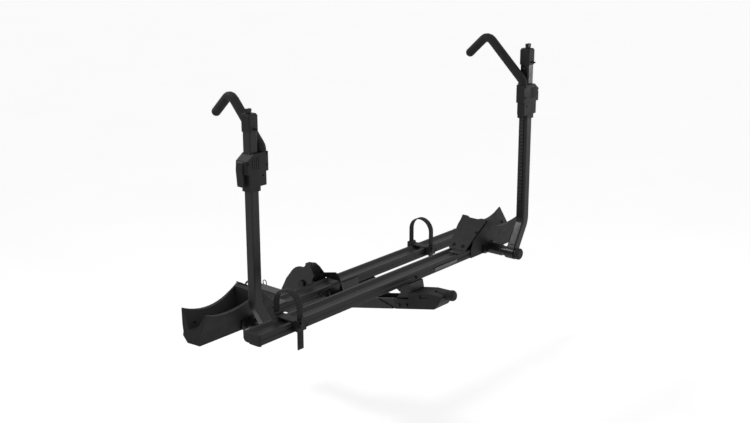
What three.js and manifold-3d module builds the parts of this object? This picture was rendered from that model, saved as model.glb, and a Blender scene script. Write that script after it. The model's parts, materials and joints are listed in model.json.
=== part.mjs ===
// Hitch mounted bike rack for two bikes, folded down level and ready to load.
//
// Units are millimetres. +X runs along the wheel trays, +Y points to the vehicle, +Z is up.
// The origin is the centre of the hitch tongue's end face, the face that enters the receiver first.
// The inner tray is the one next to the vehicle. The outer tray is its mirror image in X,
// stands further back and sits higher on the rising spine.

import * as THREE from 'three';
import { mergeVertices } from 'three/addons/utils/BufferGeometryUtils.js';
import Module from 'manifold-3d';

const wasm = await Module();
wasm.setup();

// ---------------------------------------------------------------- driving dimensions

const GAP = 0.4;                     // clearance between neighbouring pieces

const TONGUE_SIZE = 50.8;            // 2 inch square receiver tube
const TONGUE_WALL = 5;
const TONGUE_LENGTH = 275;
const TONGUE_PIN_Y = -40;            // cross hole for the hitch pin
const PIN_RADIUS = 7.9;              // 5/8 inch hitch pin

const PIVOT_Y = -282;                // tilt axis of the spine, parallel to X
const PIVOT_Z = 97.5;
const PIVOT_RADIUS = 8;
const SPINE_RISE = THREE.MathUtils.degToRad(12.8);
const SPINE_HALF = 35;               // half the width over the side plates
const PLATE = 4;                     // side plate thickness
const SPINE_BOTTOM = -80;            // below the tilt axis, square to the spine
const QUADRANT_RADIUS = 46;
const PLATE_LOW = SPINE_BOTTOM + 35;      // top edge of the plates behind the inner tray
const BEAM_FRONT = -118;
const BRACKET_BASE = 7;                   // bracket under the inner tray
const WINDOW_START = -329;                // where the plates run out ahead of the handle housing
const HOUSING_FRONT = -404;
const HOUSING_STEP = -466;                // the housing's tall part starts here
const HOUSING_BACK = -596;
const HOUSING_LOW = SPINE_BOTTOM + 32;
const HOUSING_TOP = SPINE_BOTTOM + 55;
const HOUSING_BOLTS = [[-420, -68], [-452, -68]];
const PAWL_PIVOT = [-84, -56];
const ROD_LOW = SPINE_BOTTOM + 21;        // release rod inside the spine
const GRIP_AXIS = SPINE_BOTTOM + 36;      // pull grip behind the housing

const TRAY_HALF = 33;                // half the tray's width
const TRAY_HEIGHT = 31;
const TRAY_FLOOR = 23;               // wheel channel floor above the tray's underside
const TRAY_CRADLE_END = 570;         // tray end inside the wheel cradle
// Side is the cradle's side. The strap end and strap are measured from the middle, and the arm leans inwards.
const INNER_TRAY = { y: -365, z: 84, side: -1, strapEnd: -782, strapX: -527, strapTop: 138, lean: 0 };
const ARM_LEAN = THREE.MathUtils.degToRad(0.7);
const OUTER_TRAY = {
  y: -715, z: 205.5, side: 1, strapEnd: -683, strapX: -544, strapTop: 115, lean: ARM_LEAN,
};

const CRADLE_OUTER = 602;            // cradle's outer end at its foot
const CRADLE_PEAK = { x: 370, z: 123 };
const CRADLE_ARC = { x: 496.6, z: 300.9, radius: 222.6 };   // scooped top edges
const CRADLE_HALF = 51.5;             // half width at the top
const CRADLE_SKIRT = 35.4;           // half width at the skirt
const RAMP_FOOT = { x: 268, z: 33.5 };

const ARM_AXIS = { x: 402, z: 16 };  // fold axis of the hook arm, parallel to Y
const ARM_X = 462;                   // upright part of the arm
const ARM_Y = -131;
const ARM_BEND_Z = 116;
const ARM_TUBE = 32;
const ARM_TOP = 686;
const ARM_END_TOP = 700;
const BARREL_RADIUS = 16.5;
const BARREL_END = -152;

const SLIDER_BASE = 485;
const SLIDER_STEP = 527;
const SLIDER_TOP = 585;
const TRIGGER_Z = SLIDER_TOP - 26;
const HOOK_RADIUS = 14.5;
const HOOK_FOOT = [-35, -9, 556];    // from the arm's upright axis: outward, +Y, height
const HOOK_LEAD_Z = 598;             // the rod leaves the slider upright and then leans
const HOOK_BEND = [-45, 125, 739];
const HOOK_TIP = [-48, 203, 665];

const STRAP_REACH = 46;              // strap leg from the tray's centre line
const STRAP_WIDTH = 23;
const STRAP_HALF_THICKNESS = 1.9;
const STRAP_TAIL = -50;
const LEVER_AXIS = { y: -STRAP_REACH - 13, z: 26 };

// ---------------------------------------------------------------- materials

function paint(color, roughness, metalness) {
  return new THREE.MeshStandardMaterial({ color, roughness, metalness });
}

const FRAME_PAINT = paint(0x232425, 0.5, 0.4);
const TRAY_PAINT = paint(0x2a2b2c, 0.45, 0.5);
const MOULDED = paint(0x202122, 0.65, 0.0);
const RUBBER = paint(0x161616, 0.85, 0.0);
const STEEL = paint(0x3a3b3c, 0.35, 0.9);

// ---------------------------------------------------------------- geometry helpers

// A closed manifold solid from any closed three.js geometry.
function solidOf(geometry) {
  const bare = geometry.clone();
  bare.deleteAttribute('normal');
  bare.deleteAttribute('uv');
  const merged = mergeVertices(bare, 1e-4);
  return new wasm.Manifold(new wasm.Mesh({
    numProp: 3,
    vertProperties: new Float32Array(merged.attributes.position.array),
    triVerts: new Uint32Array(merged.index.array),
  }));
}

function geometryOf(solid) {
  const { vertProperties, triVerts } = solid.getMesh();
  const geometry = new THREE.BufferGeometry();
  geometry.setAttribute('position', new THREE.BufferAttribute(vertProperties, 3));
  geometry.setIndex(new THREE.BufferAttribute(triVerts, 1));
  return geometry;
}

function join(...geometries) {
  return geometryOf(geometries.map(solidOf).reduce((all, next) => all.add(next)));
}

function cut(geometry, ...tools) {
  return geometryOf(tools.map(solidOf).reduce((rest, tool) => rest.subtract(tool), solidOf(geometry)));
}

function common(a, b) {
  return geometryOf(solidOf(a).intersect(solidOf(b)));
}

function box(x0, x1, y0, y1, z0, z1) {
  const geometry = new THREE.BoxGeometry(x1 - x0, y1 - y0, z1 - z0);
  return geometry.translate((x0 + x1) / 2, (y0 + y1) / 2, (z0 + z1) / 2);
}

// Extrudes an outline along an axis. The outline's pairs are (y, z) for x, (x, z) for y, (x, y) for z.
function prism(axis, outline, from, to) {
  const shape = new THREE.Shape(outline.map(([u, v]) => new THREE.Vector2(u, v)));
  const geometry = new THREE.ExtrudeGeometry(shape, { depth: to - from, bevelEnabled: false });
  if (axis === 'x') {
    geometry.applyMatrix4(new THREE.Matrix4().set(0, 0, 1, from, 1, 0, 0, 0, 0, 1, 0, 0, 0, 0, 0, 1));
  } else if (axis === 'y') {
    geometry.applyMatrix4(new THREE.Matrix4().set(1, 0, 0, 0, 0, 0, -1, to, 0, 1, 0, 0, 0, 0, 0, 1));
  } else {
    geometry.translate(0, 0, from);
  }
  return geometry;
}

// A round bar between two points.
function rod(start, end, radius, segments = 24) {
  const a = new THREE.Vector3(...start);
  const b = new THREE.Vector3(...end);
  const geometry = new THREE.CylinderGeometry(radius, radius, a.distanceTo(b), segments);
  const direction = b.clone().sub(a).normalize();
  const turn = new THREE.Quaternion().setFromUnitVectors(new THREE.Vector3(0, 1, 0), direction);
  geometry.applyQuaternion(turn);
  const middle = a.add(b).multiplyScalar(0.5);
  return geometry.translate(middle.x, middle.y, middle.z);
}

// A hexagon head or nut between two points.
function hexagon(start, end, acrossFlats) {
  return rod(start, end, acrossFlats / Math.sqrt(3), 6);
}

// Points on an arc, with angles in degrees, both ends included.
function arc(cx, cy, radius, fromDeg, toDeg, steps) {
  return Array.from({ length: steps + 1 }, (_, i) => {
    const angle = THREE.MathUtils.degToRad(fromDeg + (toDeg - fromDeg) * i / steps);
    return [cx + radius * Math.cos(angle), cy + radius * Math.sin(angle)];
  });
}

function roundedRectangle(x0, x1, y0, y1, radius, steps = 3) {
  return [
    ...arc(x1 - radius, y1 - radius, radius, 0, 90, steps),
    ...arc(x0 + radius, y1 - radius, radius, 90, 180, steps),
    ...arc(x0 + radius, y0 + radius, radius, 180, 270, steps),
    ...arc(x1 - radius, y0 + radius, radius, 270, 360, steps),
  ];
}

// A path given by stations, each with a point and a tangent, so that an extrusion bends only where it has to.
class StationPath extends THREE.Curve {
  constructor(stations) {
    super();
    this.stations = stations;
  }

  station(u) {
    return this.stations[Math.round(u * (this.stations.length - 1))];
  }

  getPointAt(u) {
    return this.station(u).point.clone();
  }

  getTangentAt(u) {
    return this.station(u).tangent.clone();
  }
}

// Stations along a polyline whose inner corners are rounded to a radius.
function roundedPath(corners, radius, steps) {
  const points = corners.map((corner) => new THREE.Vector3(...corner));
  const direction = (i) => points[i + 1].clone().sub(points[i]).normalize();
  const stations = [{ point: points[0], tangent: direction(0) }];
  for (let i = 1; i < points.length - 1; i += 1) {
    const before = direction(i - 1);
    const after = direction(i);
    const half = before.angleTo(after) / 2;
    const setback = radius * Math.tan(half);
    const inward = after.clone().sub(before).normalize();
    const centre = points[i].clone().addScaledVector(inward, radius / Math.cos(half));
    const start = points[i].clone().addScaledVector(before, -setback).sub(centre);
    const turnAxis = before.clone().cross(after).normalize();
    for (let k = 0; k <= steps; k += 1) {
      const angle = 2 * half * k / steps;
      stations.push({
        point: start.clone().applyAxisAngle(turnAxis, angle).add(centre),
        tangent: before.clone().applyAxisAngle(turnAxis, angle),
      });
    }
  }
  stations.push({ point: points[points.length - 1], tangent: direction(points.length - 2) });
  return stations;
}

function sweep(outline, stations) {
  const shape = new THREE.Shape(outline.map(([u, v]) => new THREE.Vector2(u, v)));
  const path = new StationPath(stations);
  const settings = { steps: stations.length - 1, extrudePath: path, bevelEnabled: false };
  return new THREE.ExtrudeGeometry(shape, settings);
}

// A solid of revolution about an axis parallel to Y through (x, z). The profile's pairs are (radius, y).
function turnedAboutY(x, z, profile, segments = 28) {
  const points = profile.map(([radius, y]) => new THREE.Vector2(radius, y));
  return new THREE.LatheGeometry(points, segments).translate(x, 0, z);
}

// The mirror image in the plane X = 0, with its faces still pointing out.
function mirrored(geometry) {
  const flipped = geometryOf(solidOf(geometry));
  flipped.scale(-1, 1, 1);
  const index = flipped.index.array;
  for (let i = 0; i < index.length; i += 3) {
    [index[i], index[i + 1]] = [index[i + 1], index[i]];
  }
  return flipped;
}

// ---------------------------------------------------------------- scene graph

const rack = new THREE.Group();
const spine = new THREE.Group();
spine.position.set(0, PIVOT_Y, PIVOT_Z);
spine.rotation.x = -SPINE_RISE;
rack.add(spine);

function place(parent, name, geometry, material) {
  const mesh = new THREE.Mesh(geometry, material);
  mesh.name = name;
  parent.add(mesh);
}

// ---------------------------------------------------------------- hitch tongue and pivot base

function tongueTube() {
  const half = TONGUE_SIZE / 2;
  const inside = half - TONGUE_WALL;
  const outer = prism('y', roundedRectangle(-half, half, -half, half, 5), -TONGUE_LENGTH, 0);
  const bore = prism('y', roundedRectangle(-inside, inside, -inside, inside, 2), -TONGUE_LENGTH - 1, 1);
  const pinHole = rod([-60, TONGUE_PIN_Y, 0], [60, TONGUE_PIN_Y, 0], PIN_RADIUS + GAP);
  return cut(outer, bore, pinHole);
}

function tonguePlug() {
  const inside = TONGUE_SIZE / 2 - TONGUE_WALL - GAP;
  return prism('y', roundedRectangle(-inside, inside, -inside, inside, 2), -16, 0);
}

// Two cheeks on the end of the tongue, joined by a block, carry the tilt axis and the notched quadrants.
function pivotBase() {
  const half = TONGUE_SIZE / 2;
  const outline = [
    [PIVOT_Y + 116, half + 3],
    [PIVOT_Y + 112, -half - 3],
    [PIVOT_Y + 12, -half - 3],
    [PIVOT_Y + 6, -half + 6],
    ...arc(PIVOT_Y, PIVOT_Z, QUADRANT_RADIUS, 298, 20, 26),
    [PIVOT_Y + 66, PIVOT_Z - 36],
  ];
  const cheeks = [-1, 1].map((side) => {
    const inner = side * (half + GAP);
    const outerFace = side * (SPINE_HALF - PLATE - 1);
    return prism('x', outline, Math.min(inner, outerFace), Math.max(inner, outerFace));
  });
  const block = box(-half - 1, half + 1, PIVOT_Y + 12, PIVOT_Y + 60, half + GAP, half + 12);
  const boss = rod([-half - 1, PIVOT_Y, PIVOT_Z], [half + 1, PIVOT_Y, PIVOT_Z], 16);
  const notches = [225, 135, 260].map((angle) => {
    const direction = THREE.MathUtils.degToRad(angle);
    const y = PIVOT_Y + QUADRANT_RADIUS * Math.cos(direction);
    const z = PIVOT_Z + QUADRANT_RADIUS * Math.sin(direction);
    return rod([-60, y, z], [60, y, z], 6, 12);
  });
  const bore = rod([-60, PIVOT_Y, PIVOT_Z], [60, PIVOT_Y, PIVOT_Z], PIVOT_RADIUS + GAP);
  return cut(join(...cheeks, block, boss), bore, ...notches);
}

function hitchPin() {
  const headX = -TONGUE_SIZE / 2 - 10;
  const shaft = rod([headX, TONGUE_PIN_Y, 0], [50, TONGUE_PIN_Y, 0], PIN_RADIUS);
  const head = rod([headX - 8, TONGUE_PIN_Y, 0], [headX, TONGUE_PIN_Y, 0], 15);
  const ring = new THREE.TorusGeometry(21, 3.5, 8, 24).rotateY(Math.PI / 2);
  ring.translate(headX - 4, TONGUE_PIN_Y + 16, 28);
  const clipHole = rod([42, TONGUE_PIN_Y, -20], [42, TONGUE_PIN_Y, 20], 2.2, 10);
  return cut(join(shaft, head, ring), clipHole);
}

place(rack, 'tongue_tube', tongueTube(), FRAME_PAINT);
place(rack, 'tongue_end_plug', tonguePlug(), MOULDED);
place(rack, 'pivot_base', pivotBase(), FRAME_PAINT);
place(rack, 'hitch_pin', hitchPin(), STEEL);

// ---------------------------------------------------------------- spine, in its own tilted frame
// In the spine group, Y runs along the spine towards the vehicle and Z is square to it.

// Where a point given in the rack's level frame lies in the spine's frame.
function inSpine(y, z) {
  const dy = y - PIVOT_Y;
  const dz = z - PIVOT_Z;
  const c = Math.cos(SPINE_RISE);
  const s = Math.sin(SPINE_RISE);
  return [dy * c - dz * s, dy * s + dz * c];
}

const HEAD_FRONT = [[92, SPINE_BOTTOM], [110, SPINE_BOTTOM + 20], [109, -18], [74, 22]];
const RAIL = [
  [-124, PLATE_LOW],
  [WINDOW_START, PLATE_LOW],
  [WINDOW_START - 59, SPINE_BOTTOM + 7],
  [WINDOW_START - 66, SPINE_BOTTOM],
];

// The left plate's head has a round shoulder, a lifting tab and a low saddle under the inner tray.
const LEFT_HEAD = [
  ...arc(0, 0, 63, 52, 108, 5),
  [-31, 66],
  [-34, 74],
  [-52, 78],
  [-66, 76],
  [-59, 67],
  [-54, 54],
  [-59, 38],
  [-62, 26],
  inSpine(INNER_TRAY.y + TRAY_HALF + 5, INNER_TRAY.z + TRAY_HEIGHT + 4),
  [-118, -24],
];

// The right plate bridges over the inner tray.
const RIGHT_HEAD = [...arc(0, 0, 60, 52, 104, 5), [-31, 45], [-46, 24], [-101, 24], [-112, 17], [-121, -12]];

// One side plate with a window for the inner tray and its bracket.
function sidePlate(head, side) {
  const outer = side * SPINE_HALF;
  const inner = side * (SPINE_HALF - PLATE);
  const plate = prism('x', [...HEAD_FRONT, ...head, ...RAIL], Math.min(outer, inner), Math.max(outer, inner));
  const [front, back] = [INNER_TRAY.y + TRAY_HALF + 5, INNER_TRAY.y - TRAY_HALF - 5];
  const [low, high] = [INNER_TRAY.z - BRACKET_BASE - 1, INNER_TRAY.z + TRAY_HEIGHT + 1];
  const window = [inSpine(front, high), inSpine(back, high), inSpine(back, low), inSpine(front, low)];
  const tools = [
    prism('x', window, -60, 60),
    rod([-60, 0, 0], [60, 0, 0], PIVOT_RADIUS + GAP),
    rod([-60, PAWL_PIVOT[0], PAWL_PIVOT[1]], [60, PAWL_PIVOT[0], PAWL_PIVOT[1]], 4 + GAP, 16),
  ];
  return cut(plate, ...tools);
}

// The beam is a U channel, open upwards, between the side plates.
function spineBeam() {
  const half = SPINE_HALF - PLATE - GAP;
  const wall = 4;
  const length = [HOUSING_FRONT + 1, BEAM_FRONT];
  const body = box(-half, half, length[0], length[1], SPINE_BOTTOM, PLATE_LOW - 1);
  const inside = box(-half + wall, half - wall, length[0] - 1, length[1] + 1, SPINE_BOTTOM + wall, 0);
  const lightening = [-175, -245, -315].map((y) => {
    return rod([0, y, SPINE_BOTTOM - 5], [0, y, SPINE_BOTTOM + 10], 12, 20);
  });
  return cut(body, inside, ...lightening);
}

// Solid casting at the rear end of the spine that houses the tilt release.
function handleHousing() {
  const outline = [
    [HOUSING_FRONT, SPINE_BOTTOM],
    [HOUSING_FRONT, HOUSING_LOW],
    [HOUSING_STEP, HOUSING_LOW],
    [HOUSING_STEP, HOUSING_TOP],
    [HOUSING_BACK + 60, HOUSING_TOP - 2],
    [HOUSING_BACK + 24, HOUSING_TOP - 9],
    [HOUSING_BACK + 4, HOUSING_TOP - 13],
    [HOUSING_BACK, HOUSING_TOP - 17],
    [HOUSING_BACK, SPINE_BOTTOM + 34],
    [HOUSING_BACK + 10, SPINE_BOTTOM + 20],
    [HOUSING_BACK + 28, SPINE_BOTTOM + 3],
    [HOUSING_BACK + 34, SPINE_BOTTOM],
  ];
  const body = prism('x', outline, -SPINE_HALF, SPINE_HALF);
  const cavityOutline = [
    [HOUSING_FRONT - 7, SPINE_BOTTOM + 6],
    [HOUSING_FRONT - 7, HOUSING_LOW - 5],
    [HOUSING_STEP - 5, HOUSING_LOW - 5],
    [HOUSING_STEP - 7, HOUSING_TOP - 7],
    [HOUSING_BACK + 44, HOUSING_TOP - 7],
    [HOUSING_BACK + 44, SPINE_BOTTOM + 6],
  ];
  const cavity = prism('x', cavityOutline.reverse(), -SPINE_HALF + 7, SPINE_HALF - 7);
  const rodBore = rod([0, HOUSING_FRONT - 20, ROD_LOW], [0, HOUSING_FRONT + 1, ROD_LOW], 4 + GAP, 14);
  const gripBore = rod([0, HOUSING_BACK - 1, GRIP_AXIS], [0, HOUSING_BACK + 60, GRIP_AXIS], 14 + GAP, 22);
  const recesses = [-1, 1].map((side) => {
    const deep = side * (SPINE_HALF - 3);
    const shallow = side * (SPINE_HALF + 1);
    const [near, far] = [HOUSING_BACK + 46, HOUSING_BACK + 86];
    const pocket = roundedRectangle(near, far, HOUSING_TOP - 21, HOUSING_TOP - 8, 5, 2);
    return prism('x', pocket, Math.min(deep, shallow), Math.max(deep, shallow));
  });
  const bolts = HOUSING_BOLTS.map(([y, z]) => rod([-60, y, z], [60, y, z], 3.4 + GAP, 14));
  return cut(body, cavity, rodBore, gripBore, ...recesses, ...bolts);
}

function crossBolt([y, z], radius) {
  const reach = SPINE_HALF + 1;
  const shaft = rod([-reach, y, z], [reach + 8, y, z], radius, 16);
  const head = hexagon([-reach - radius, y, z], [-reach, y, z], radius * 3.2);
  return join(shaft, head);
}

function crossNut([y, z], radius) {
  const face = SPINE_HALF + 1;
  const nut = hexagon([face, y, z], [face + radius, y, z], radius * 3.2);
  return cut(nut, rod([0, y, z], [60, y, z], radius + GAP, 16));
}

// The pawl hangs on its own pin under the inner tray and reaches to the quadrants' notches.
function tiltPawl() {
  const [py, pz] = PAWL_PIVOT;
  const nose = 51.5;
  const noseAngle = THREE.MathUtils.degToRad(225) + SPINE_RISE;
  const tip = [nose * Math.cos(noseAngle), nose * Math.sin(noseAngle)];
  const outline = [
    [tip[0] - 2, tip[1] + 5],
    [tip[0] + 2, tip[1] - 3],
    [tip[0] - 6, tip[1] - 11],
    [py + 2, pz - 11],
    [py - 11, pz - 4],
    [py - 10, pz + 9],
    [py + 4, pz + 10],
  ];
  const body = prism('x', outline, -29.5, 29.5);
  return cut(body, rod([-60, py, pz], [60, py, pz], 4 + GAP, 16));
}

function pawlPin() {
  const [py, pz] = PAWL_PIVOT;
  return rod([-SPINE_HALF - 2, py, pz], [SPINE_HALF + 2, py, pz], 4, 16);
}

// The release rod runs the length of the spine and ends in the pull grip behind the housing.
function releaseRod() {
  const path = [
    [0, BEAM_FRONT + 10, ROD_LOW],
    [0, HOUSING_STEP - 8, ROD_LOW],
    [0, HOUSING_STEP - 34, GRIP_AXIS],
    [0, HOUSING_BACK + 36, GRIP_AXIS],
  ];
  return sweep(arc(0, 0, 4, 0, 324, 9), roundedPath(path, 26, 3));
}

function releaseGrip() {
  const start = HOUSING_BACK + 36 - GAP;
  const profile = [
    [0, start],
    [13, start],
    [14, start - 1],
    [14, HOUSING_BACK - 1],
    [15.5, HOUSING_BACK - 2],
    [15.5, HOUSING_BACK - 8],
    [14, HOUSING_BACK - 10],
    [16.8, HOUSING_BACK - 13],
    [17.2, HOUSING_BACK - 17],
    [17.2, HOUSING_BACK - 22],
    [15, HOUSING_BACK - 27],
    [9, HOUSING_BACK - 29.5],
    [0, HOUSING_BACK - 30],
  ];
  return turnedAboutY(0, GRIP_AXIS, profile.reverse(), 22);
}

place(spine, 'spine_left_plate', sidePlate(LEFT_HEAD, -1), FRAME_PAINT);
place(spine, 'spine_right_plate', sidePlate(RIGHT_HEAD, 1), FRAME_PAINT);
place(spine, 'spine_beam', spineBeam(), FRAME_PAINT);
place(spine, 'handle_housing', handleHousing(), MOULDED);
place(spine, 'pivot_bolt', crossBolt([0, 0], PIVOT_RADIUS), STEEL);
place(spine, 'pivot_nut', crossNut([0, 0], PIVOT_RADIUS), STEEL);
HOUSING_BOLTS.forEach((at, i) => place(spine, `housing_bolt_${i + 1}`, crossBolt(at, 3.4), STEEL));
place(spine, 'tilt_pawl', tiltPawl(), STEEL);
place(spine, 'tilt_pawl_pin', pawlPin(), STEEL);
place(spine, 'release_rod', releaseRod(), STEEL);
place(spine, 'release_grip', releaseGrip(), RUBBER);

// ---------------------------------------------------------------- tray supports, in the level frame

// A wide U bracket between the spine's plates and the inner tray, with flanges along the tray's sides.
function innerBracket() {
  const { y, z } = INNER_TRAY;
  const inside = TRAY_HALF + GAP;
  const flangeOutline = [[-38, -BRACKET_BASE], [124, -BRACKET_BASE], [124, 25], [-24, 27], [-76, 19]];
  const flanges = [-1, 1].map((side) => {
    const [a, b] = [side * inside, side * (inside + 3.5)];
    return prism('y', flangeOutline, Math.min(a, b), Math.max(a, b));
  });
  const base = box(-38, 216, -inside - 3.5, inside + 3.5, -BRACKET_BASE, -GAP);
  return join(base, ...flanges).translate(0, y, z);
}

// Where a point given in the spine's frame lies in the rack's level frame.
function levelOf(y, z) {
  const c = Math.cos(SPINE_RISE);
  const s = Math.sin(SPINE_RISE);
  return [PIVOT_Y + y * c + z * s, PIVOT_Z - y * s + z * c];
}

// A bracket of folded plate stands on the housing and carries the outer tray.
function outerPedestal() {
  const top = OUTER_TRAY.z - GAP;
  const front = OUTER_TRAY.y + TRAY_HALF + 2;
  const back = OUTER_TRAY.y - TRAY_HALF - 2;
  const seat = HOUSING_TOP + GAP;
  const hood = [
    levelOf(HOUSING_STEP - 14, seat),
    [back, top],
    [front, top],
    [front + 6, top - 14],
    levelOf(HOUSING_STEP + 30, seat),
  ];
  const foot = [
    levelOf(HOUSING_STEP + 1, seat + 1),
    levelOf(HOUSING_STEP + 34, seat + 1),
    levelOf(HOUSING_FRONT - 2, HOUSING_LOW + GAP),
    levelOf(HOUSING_STEP + 1, HOUSING_LOW + GAP),
  ];
  const body = join(prism('x', hood, -SPINE_HALF, SPINE_HALF), prism('x', foot, -24, 24));
  const hollow = box(-SPINE_HALF + 5, SPINE_HALF - 5, back + 8, front + 60, top - 24, top - 5);
  return cut(body, hollow);
}

place(rack, 'inner_tray_bracket', innerBracket(), FRAME_PAINT);
place(rack, 'outer_tray_pedestal', outerPedestal(), FRAME_PAINT);

// ---------------------------------------------------------------- wheel tray assembly
// Every function below works in a tray's own frame: X towards the wheel cradle, Y to the vehicle,
// Z above the tray's underside. The inner tray's pieces are mirrored in X.

// Hollow extruded channel with raised rails, sloping inner flanks and a groove along each side.
function trayOutline() {
  const half = (side) => [
    [side * 31, 0],
    [side * TRAY_HALF, 2],
    [side * TRAY_HALF, 13],
    [side * 30.5, 15],
    [side * 30.5, 18.5],
    [side * TRAY_HALF, 20.5],
    [side * TRAY_HALF, 29],
    [side * 31, TRAY_HEIGHT],
    [side * 23, TRAY_HEIGHT],
    [side * 15, TRAY_FLOOR],
  ];
  return [...half(1), ...half(-1).reverse()];
}

function tray(strapEnd) {
  const body = prism('x', trayOutline(), strapEnd, TRAY_CRADLE_END);
  const cells = [-1, 1].map((side) => {
    const outline = [[2, 3], [28, 3], [28, 25], [22, 27], [14, 20], [2, 20]].map(([y, z]) => [side * y, z]);
    return prism('x', side > 0 ? outline : outline.reverse(), strapEnd - 1, TRAY_CRADLE_END + 1);
  });
  return cut(body, ...cells);
}

// Moulded cap that closes the tray's strap end, with the corner next to the vehicle cut back.
function trayCap(strapEnd) {
  const end = strapEnd - GAP;
  const plan = [
    [end, -34],
    [end, 34],
    [end - 1, 34],
    [end - 6, 31],
    [end - 8, 24],
    [end - 8, -26],
    [end - 6, -32],
    [end - 3, -34],
  ];
  const body = prism('z', plan.reverse(), -0.6, TRAY_HEIGHT + 0.6);
  const insert = box(end - 1, end + 14, 4, 26, 5, 17);
  const undercut = prism('y', [[end - 30, -2], [end - 1, -2], [end - 30, 14]], 6, 60);
  const corner = prism('x', [[14, -2], [50, -2], [50, 22]], end - 30, end - 0.2);
  return cut(join(body, insert), undercut, corner);
}

// Height of the ramp's sloping face at a distance along the tray.
function rampHeight(x) {
  const slope = (CRADLE_PEAK.z - RAMP_FOOT.z) / (CRADLE_PEAK.x - RAMP_FOOT.x);
  return RAMP_FOOT.z + slope * (x - RAMP_FOOT.x);
}

// The moulded cradle: a flared trough with scooped rims over the tray's end. The ramp closes its inner end.
function cradle() {
  const half = (side) => [
    [side * CRADLE_SKIRT, 0],
    [side * CRADLE_SKIRT, 32],
    [side * 42, 52],
    [side * CRADLE_HALF, 96],
    [side * CRADLE_HALF, 128],
  ];
  const section = [...half(1), ...half(-1).reverse()];
  const innerEnd = 300;
  const rim = arc(CRADLE_ARC.x, CRADLE_ARC.z, CRADLE_ARC.radius, -63, -124.8, 13);
  const profile = [
    [innerEnd, 0],
    [CRADLE_OUTER + 10, 0],
    [CRADLE_OUTER + 10, 100],
    ...rim,
    [innerEnd, rampHeight(innerEnd) - 2.3],
  ];
  const shell = common(prism('x', section, innerEnd, CRADLE_OUTER + 9), prism('y', profile, -80, 80));
  const floorZ = 41;
  const troughSection = [[-14, floorZ], [14, floorZ], [46, 100], [46, 130], [-46, 130], [-46, 100]];
  const troughProfile = [
    [CRADLE_PEAK.x + 26, floorZ - 5],
    [640, floorZ - 5],
    [640, 140],
    [CRADLE_PEAK.x + 4, 140],
  ];
  const trough = common(prism('x', troughSection, 300, 640), prism('y', troughProfile, -80, 80));
  const bedHalf = TRAY_HALF + GAP;
  const trayBed = box(innerEnd - 1, TRAY_CRADLE_END + GAP, -bedHalf, bedHalf, -1, TRAY_HEIGHT + GAP);
  const pockets = [-1, 1].map((side) => {
    const outline = [[18, 30], [31.5, 30], [37.5, 52], [41.5, 68], [34.5, 68]].map(([y, z]) => [side * y, z]);
    return prism('x', side > 0 ? outline : outline.reverse(), CRADLE_PEAK.x + 8, CRADLE_OUTER - 14);
  });
  const pocketEnd = CRADLE_PEAK.x - 4;
  const pocketSection = [[-32, 25], [32, 25], [37, 50], [44, 110], [-44, 110], [-37, 50]];
  const pocketProfile = [
    [innerEnd - 1, 0],
    [pocketEnd, 0],
    [pocketEnd, 112],
    [innerEnd - 1, rampHeight(innerEnd) - 1],
  ];
  const rampPocket = common(
    prism('x', pocketSection, innerEnd - 1, pocketEnd),
    prism('y', pocketProfile, -80, 80),
  );
  const slot = prism('z', roundedRectangle(558, 578, -4, 4, 3.9), 20, 60);
  // The outer end is raked: it leans in towards the top and towards the hook arm's side.
  const rake = box(0, 60, -90, 90, -10, 140).applyMatrix4(new THREE.Matrix4().set(
    1, 0.1, -0.18, 608,
    0, 1, 0, 0,
    0, 0, 1, 0,
    0, 0, 0, 1,
  ));
  const corner = prism('x', [[12, -2], [60, -2], [60, 40], [35.6, 20]], 588, 640);
  return cut(shell, trough, trayBed, ...pockets, rampPocket, slot, rake, corner);
}

// Folded plate ramp that leads the wheel up into the cradle, with a foot on the tray.
function ramp() {
  const plate = 4;
  const foot = 226;
  const profile = [
    [foot, TRAY_HEIGHT + GAP],
    [RAMP_FOOT.x - 1, TRAY_HEIGHT + GAP],
    [CRADLE_PEAK.x - 1, CRADLE_PEAK.z - 4],
    [CRADLE_PEAK.x + 2, CRADLE_PEAK.z - 2],
    [CRADLE_PEAK.x - 2, CRADLE_PEAK.z + 1],
    [RAMP_FOOT.x - 3, TRAY_HEIGHT + GAP + plate],
    [foot, TRAY_HEIGHT + GAP + plate],
  ];
  const plan = [
    [foot, -32],
    [RAMP_FOOT.x, -34],
    [CRADLE_PEAK.x + 4, -CRADLE_HALF],
    [CRADLE_PEAK.x, -34],
    [CRADLE_PEAK.x - 6, -16],
    [CRADLE_PEAK.x - 7, 0],
    [CRADLE_PEAK.x - 6, 16],
    [CRADLE_PEAK.x, 34],
    [CRADLE_PEAK.x + 4, CRADLE_HALF],
    [RAMP_FOOT.x, 34],
    [RAMP_FOOT.x - 12, 6],
    [foot, 2],
  ];
  return common(prism('y', profile, -60, 60), prism('z', plan, 0, 150));
}

// Fixed tube on the cradle's side; the hook arm folds about it.
function barrel() {
  const { x, z } = ARM_AXIS;
  const wall = -CRADLE_SKIRT - GAP;
  const profile = [
    [6, BARREL_END],
    [BARREL_RADIUS, BARREL_END],
    [BARREL_RADIUS, -96],
    [19, -94],
    [19, -43],
    [15, -43],
    [15, wall],
    [6, wall],
    [6, BARREL_END],
  ];
  const tube = turnedAboutY(x, z, profile, 24);
  const flange = prism('y', roundedRectangle(x - 34, x + 34, z - 16, z + 15.6, 6), wall - 7, wall);
  return cut(join(tube, flange), rod([x, wall - 60, z], [x, wall + 10, z], 6, 24));
}

function barrelCap() {
  const { x, z } = ARM_AXIS;
  const face = BARREL_END - GAP;
  const profile = [
    [0, face - 15],
    [13, face - 15],
    [17.5, face - 13.5],
    [19.5, face - 10.5],
    [19.5, face - 1.5],
    [18.6, face],
    [5.4, face],
    [5.4, face + 26],
    [0, face + 26],
  ];
  return turnedAboutY(x, z, profile, 24);
}

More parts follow.
